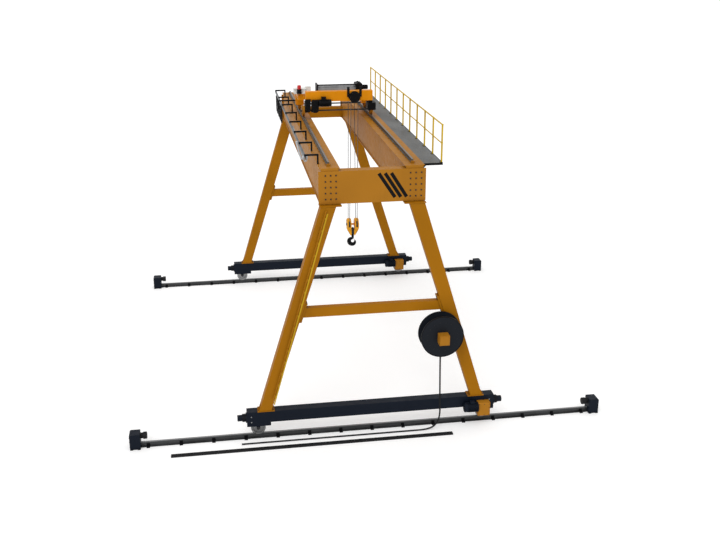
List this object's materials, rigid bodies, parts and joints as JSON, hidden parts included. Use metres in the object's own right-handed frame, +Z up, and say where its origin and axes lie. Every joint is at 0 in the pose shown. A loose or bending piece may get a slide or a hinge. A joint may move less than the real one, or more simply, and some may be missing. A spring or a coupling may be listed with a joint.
{
  "type": "gantry crane",
  "caption": "Rail-mounted double-girder gantry crane with A-shaped legs, walkway, hoist trolley, hook block and cable reel, on its two ground rails.",
  "frame": {"origin": "on the ground under the middle of the front rail", "axes": "+X along the ground rails to the walkway side, +Y across the span to the rear rail, +Z up"},
  "size_m": [14.66, 14.606, 9.44],
  "materials": {
    "rail_steel": "worn",
    "grey_steel": "satin",
    "dark_paint": "satin",
    "black_paint": "satin",
    "black_rubber": "matte",
    "wheel_steel": "machined",
    "ochre_paint": "satin",
    "orange_paint": "satin",
    "yellow_paint": "satin",
    "deck_grey": "matte",
    "white_paint": "satin",
    "lamp_red": "gloss",
    "cable_black": "matte",
    "rope_steel": "satin"
  },
  "bodies": {
    "runway": {"front_rail": "rail_steel", "rear_rail": "rail_steel", "rail_clips": "black_paint", "end_stops": "dark_paint", "stop_buffers": "black_rubber", "cable_channel": "grey_steel"},
    "gantry": {"front_ground_beam": "dark_paint", "rear_ground_beam": "dark_paint", "beam_buffers": "dark_paint", "travel_gearboxes": "ochre_paint", "travel_motors": "dark_paint", "front_right_leg": "ochre_paint", "front_left_leg": "ochre_paint", "rear_right_leg": "ochre_paint", "rear_left_leg": "ochre_paint", "tie_beams": "ochre_paint", "right_girder": "ochre_paint", "left_girder": "ochre_paint", "front_end_beam": "ochre_paint", "rear_end_beam": "ochre_paint", "trolley_rails": "rail_steel", "trolley_rail_stops": "ochre_paint", "walkway_deck": "deck_grey", "walkway_railing": "yellow_paint", "access_ladder": "yellow_paint", "festoon_brackets": "black_paint", "festoon_track": "grey_steel", "festoon_loops": "cable_black", "reel_bracket": "dark_paint", "slip_ring_box": "ochre_paint", "supply_cable": "cable_black"},
    "front_left_wheel": {"front_left_wheel": "wheel_steel"},
    "front_right_wheel": {"front_right_wheel": "wheel_steel"},
    "rear_left_wheel": {"rear_left_wheel": "wheel_steel"},
    "rear_right_wheel": {"rear_right_wheel": "wheel_steel"},
    "reel": {"cable_reel": "dark_paint"},
    "trolley": {"right_carriage": "orange_paint", "left_carriage": "orange_paint", "trolley_cross_beams": "orange_paint", "trolley_reducer": "black_paint", "trolley_motor": "black_paint", "wheel_cover": "black_paint", "equaliser_bracket": "black_paint", "equaliser_sheave": "black_paint", "hoist_bearers": "orange_paint", "drum_frame": "black_paint", "hoist_gearbox": "black_paint", "hoist_motor": "black_paint", "electric_cabinet": "white_paint", "warning_beacon": "lamp_red", "tow_arm": "black_paint", "hoist_ropes": "rope_steel"},
    "drive_axle": {"trolley_drive_axle": "wheel_steel"},
    "idle_axle": {"trolley_idle_axle": "wheel_steel"},
    "drum": {"hoist_drum": "wheel_steel"},
    "block": {"hook_block": "orange_paint", "hook_sheaves": "wheel_steel"},
    "hook": {"hook": "black_paint"}
  },
  "joints": [
    {"name": "gantry_travel", "type": "slide", "parent": "runway", "child": "gantry", "axis": [1, 0, 0], "range_m": [-2.95, 2.95]},
    {"name": "front_left_wheel_turn", "type": "hinge", "parent": "gantry", "child": "front_left_wheel", "pos_m": [-3.502, 0, 0.3633], "axis": [0, 1, 0], "continuous": true},
    {"name": "front_right_wheel_turn", "type": "hinge", "parent": "gantry", "child": "front_right_wheel", "pos_m": [3.502, 0, 0.3633], "axis": [0, 1, 0], "continuous": true},
    {"name": "rear_left_wheel_turn", "type": "hinge", "parent": "gantry", "child": "rear_left_wheel", "pos_m": [-3.502, 13.5, 0.3633], "axis": [0, 1, 0], "continuous": true},
    {"name": "rear_right_wheel_turn", "type": "hinge", "parent": "gantry", "child": "rear_right_wheel", "pos_m": [3.502, 13.5, 0.3633], "axis": [0, 1, 0], "continuous": true},
    {"name": "reel_turn", "type": "hinge", "parent": "gantry", "child": "reel", "pos_m": [2.01, -0.415, 3.23], "axis": [0, 1, 0], "continuous": true},
    {"name": "trolley_travel", "type": "slide", "parent": "gantry", "child": "trolley", "axis": [0, 1, 0], "range_m": [-6.6, 2.3], "deforming": ["festoon_loops"]},
    {"name": "drive_axle_turn", "type": "hinge", "parent": "trolley", "child": "drive_axle", "pos_m": [0, 7.515, 8.5903], "axis": [1, 0, 0], "continuous": true},
    {"name": "idle_axle_turn", "type": "hinge", "parent": "trolley", "child": "idle_axle", "pos_m": [0, 8.93, 8.5903], "axis": [1, 0, 0], "continuous": true},
    {"name": "hook_lift", "type": "slide", "parent": "trolley", "child": "block", "axis": [0, 0, 1], "range_m": [-3.2, 3.3], "deforming": ["hoist_ropes"]},
    {"name": "drum_turn", "type": "hinge", "parent": "trolley", "child": "drum", "pos_m": [0, 8.2, 9.19], "axis": [1, 0, 0], "continuous": true},
    {"name": "hook_swivel", "type": "hinge", "parent": "block", "child": "hook", "pos_m": [0.55, 7.6, 4], "axis": [0, 0, 1], "continuous": true}
  ],
  "couplings": [
    {"joint": "front_left_wheel_turn", "follows": "gantry_travel", "rad_per_m": 5},
    {"joint": "front_right_wheel_turn", "follows": "gantry_travel", "rad_per_m": 5},
    {"joint": "rear_left_wheel_turn", "follows": "gantry_travel", "rad_per_m": 5},
    {"joint": "rear_right_wheel_turn", "follows": "gantry_travel", "rad_per_m": 5},
    {"joint": "reel_turn", "follows": "gantry_travel", "rad_per_m": 2.247},
    {"joint": "drive_axle_turn", "follows": "trolley_travel", "rad_per_m": -5.714},
    {"joint": "idle_axle_turn", "follows": "trolley_travel", "rad_per_m": -5.714},
    {"joint": "drum_turn", "follows": "hook_lift", "rad_per_m": -12.5}
  ]
}
